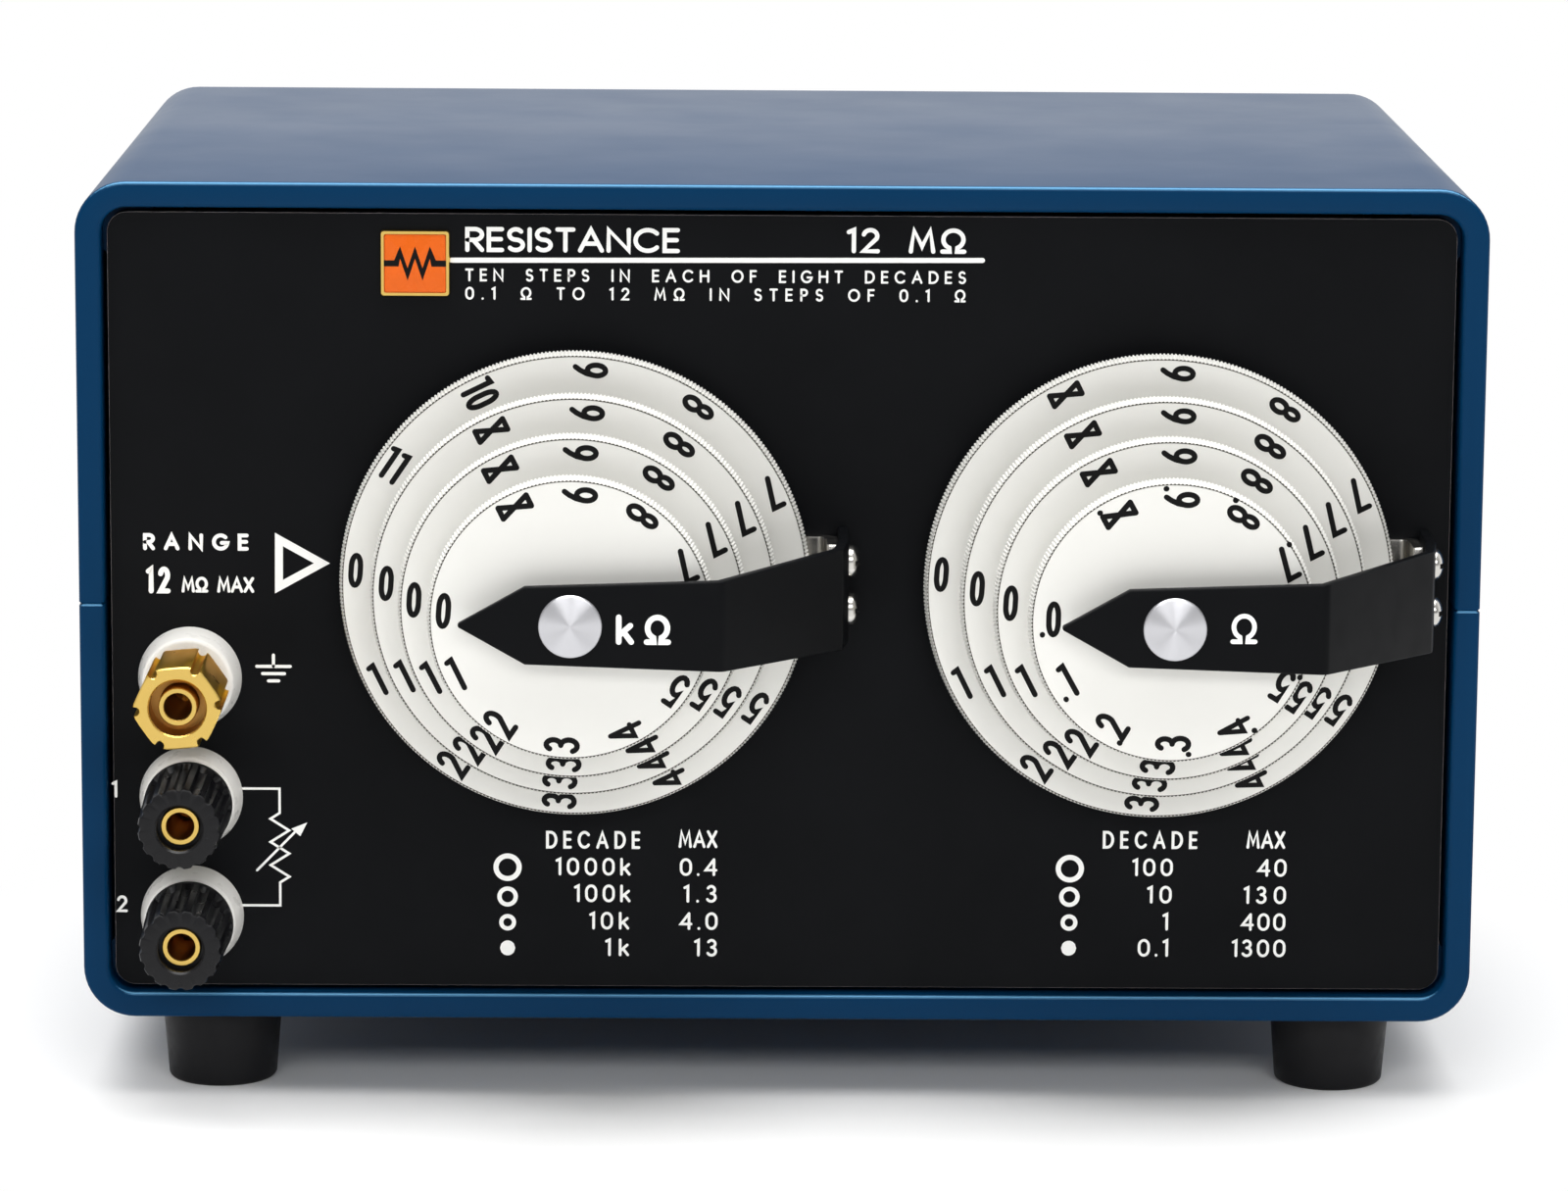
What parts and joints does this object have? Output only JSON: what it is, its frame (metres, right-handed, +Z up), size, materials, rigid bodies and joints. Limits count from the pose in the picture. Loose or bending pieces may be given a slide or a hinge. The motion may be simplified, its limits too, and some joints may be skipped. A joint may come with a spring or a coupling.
{
  "type": "decade resistor",
  "caption": "Bench decade resistance box with two stacks of concentric numbered dials, pointer straps and binding posts on a black panel in a blue two-shell case on rubber feet.",
  "frame": {"origin": "on the floor, under the middle of the object's bounding box", "axes": "+X to the right seen from the front, +Y to the back, +Z up"},
  "size_m": [0.218, 0.1806, 0.1447],
  "materials": {
    "case_blue": "satin paint",
    "panel_black": "satin",
    "foot_rubber": "matte",
    "badge": "gloss",
    "insulator_white": "gloss",
    "gold": "polished",
    "plated": "polished",
    "spun_silver": "spun",
    "strap_black": "satin",
    "dial_white": "satin",
    "cap_black": "satin",
    "steel": "plain",
    "wafer_brown": "matte",
    "rotor_black": "matte",
    "resistor_green": "satin",
    "lead_red": "satin"
  },
  "bodies": {
    "case": {"upper_shell": "case_blue", "lower_shell": "case_blue", "front_panel": "panel_black", "rear_panel": "panel_black", "tie_rods": "steel", "rear_screws": "steel", "rubber_feet": "foot_rubber", "foot_screws": "steel", "badge_plate": "badge", "post_insulators": "insulator_white", "ground_stud": "gold", "terminal_studs": "gold", "post_nuts": "gold", "solder_lugs": "plated", "panel_bushings": "gold", "bushing_nuts": "gold", "cursor_strap_left": "strap_black", "cursor_strap_right": "strap_black", "strap_brackets": "plated", "strap_screws": "plated", "bracket_screws": "steel", "bearing_buttons": "spun_silver", "switch_wafers": "wafer_brown", "contact_studs": "gold", "switch_rods": "steel", "rod_nuts": "steel", "wafer_spacers": "steel", "detent_springs": "steel", "resistors": "resistor_green", "hookup_leads": "lead_red"},
    "left_dial_1": {"dial_left_1": "dial_white", "shaft_left_1": "steel", "rotor_left_1": "rotor_black"},
    "left_dial_2": {"dial_left_2": "dial_white", "shaft_left_2": "steel", "rotor_left_2": "rotor_black"},
    "left_dial_3": {"dial_left_3": "dial_white", "shaft_left_3": "steel", "rotor_left_3": "rotor_black"},
    "left_dial_4": {"dial_left_4": "dial_white", "shaft_left_4": "steel", "rotor_left_4": "rotor_black"},
    "right_dial_1": {"dial_right_1": "dial_white", "shaft_right_1": "steel", "rotor_right_1": "rotor_black"},
    "right_dial_2": {"dial_right_2": "dial_white", "shaft_right_2": "steel", "rotor_right_2": "rotor_black"},
    "right_dial_3": {"dial_right_3": "dial_white", "shaft_right_3": "steel", "rotor_right_3": "rotor_black"},
    "right_dial_4": {"dial_right_4": "dial_white", "shaft_right_4": "steel", "rotor_right_4": "rotor_black"},
    "ground_washer": {"ground_clamp_washer": "gold"},
    "ground_cap": {"ground_cap": "gold"},
    "terminal_1_washer": {"terminal_1_clamp_washer": "gold"},
    "terminal_1_cap": {"terminal_1_cap": "cap_black"},
    "terminal_2_washer": {"terminal_2_clamp_washer": "gold"},
    "terminal_2_cap": {"terminal_2_cap": "cap_black"}
  },
  "joints": [
    {"name": "left_dial_1_turn", "type": "hinge", "parent": "case", "child": "left_dial_1", "pos_m": [-0.0319, -0.05672, 0.0828], "axis": [0, 1, 0], "range_deg": [0, 330]},
    {"name": "left_dial_2_turn", "type": "hinge", "parent": "case", "child": "left_dial_2", "pos_m": [-0.0319, -0.06607, 0.0828], "axis": [0, 1, 0], "range_deg": [0, 300]},
    {"name": "left_dial_3_turn", "type": "hinge", "parent": "case", "child": "left_dial_3", "pos_m": [-0.0319, -0.07543, 0.0828], "axis": [0, 1, 0], "range_deg": [0, 300]},
    {"name": "left_dial_4_turn", "type": "hinge", "parent": "case", "child": "left_dial_4", "pos_m": [-0.0319, -0.08478, 0.0828], "axis": [0, 1, 0], "range_deg": [0, 300]},
    {"name": "right_dial_1_turn", "type": "hinge", "parent": "case", "child": "right_dial_1", "pos_m": [0.0586, -0.05672, 0.0828], "axis": [0, 1, 0], "range_deg": [0, 300]},
    {"name": "right_dial_2_turn", "type": "hinge", "parent": "case", "child": "right_dial_2", "pos_m": [0.0586, -0.06607, 0.0828], "axis": [0, 1, 0], "range_deg": [0, 300]},
    {"name": "right_dial_3_turn", "type": "hinge", "parent": "case", "child": "right_dial_3", "pos_m": [0.0586, -0.07543, 0.0828], "axis": [0, 1, 0], "range_deg": [0, 300]},
    {"name": "right_dial_4_turn", "type": "hinge", "parent": "case", "child": "right_dial_4", "pos_m": [0.0586, -0.08478, 0.0828], "axis": [0, 1, 0], "range_deg": [0, 300]},
    {"name": "ground_washer_slide", "type": "slide", "parent": "case", "child": "ground_washer", "axis": [0, -1, 0], "range_m": [-0.003, 0.002]},
    {"name": "ground_cap_screw", "type": "hinge", "parent": "ground_washer", "child": "ground_cap", "pos_m": [-0.092, -0.06273, 0.0668], "axis": [0, -1, 0], "range_deg": [-1080, 720]},
    {"name": "terminal_1_washer_slide", "type": "slide", "parent": "case", "child": "terminal_1_washer", "axis": [0, -1, 0], "range_m": [0, 0.005]},
    {"name": "terminal_1_cap_screw", "type": "hinge", "parent": "terminal_1_washer", "child": "terminal_1_cap", "pos_m": [-0.092, -0.06273, 0.04775], "axis": [0, -1, 0], "range_deg": [0, 1800]},
    {"name": "terminal_2_washer_slide", "type": "slide", "parent": "case", "child": "terminal_2_washer", "axis": [0, -1, 0], "range_m": [0, 0.005]},
    {"name": "terminal_2_cap_screw", "type": "hinge", "parent": "terminal_2_washer", "child": "terminal_2_cap", "pos_m": [-0.092, -0.06273, 0.0287], "axis": [0, -1, 0], "range_deg": [0, 1800]}
  ],
  "couplings": [
    {"joint": "ground_cap_screw", "follows": "ground_washer_slide", "rad_per_m": 6283.2},
    {"joint": "terminal_1_cap_screw", "follows": "terminal_1_washer_slide", "rad_per_m": 6283.2},
    {"joint": "terminal_2_cap_screw", "follows": "terminal_2_washer_slide", "rad_per_m": 6283.2}
  ]
}
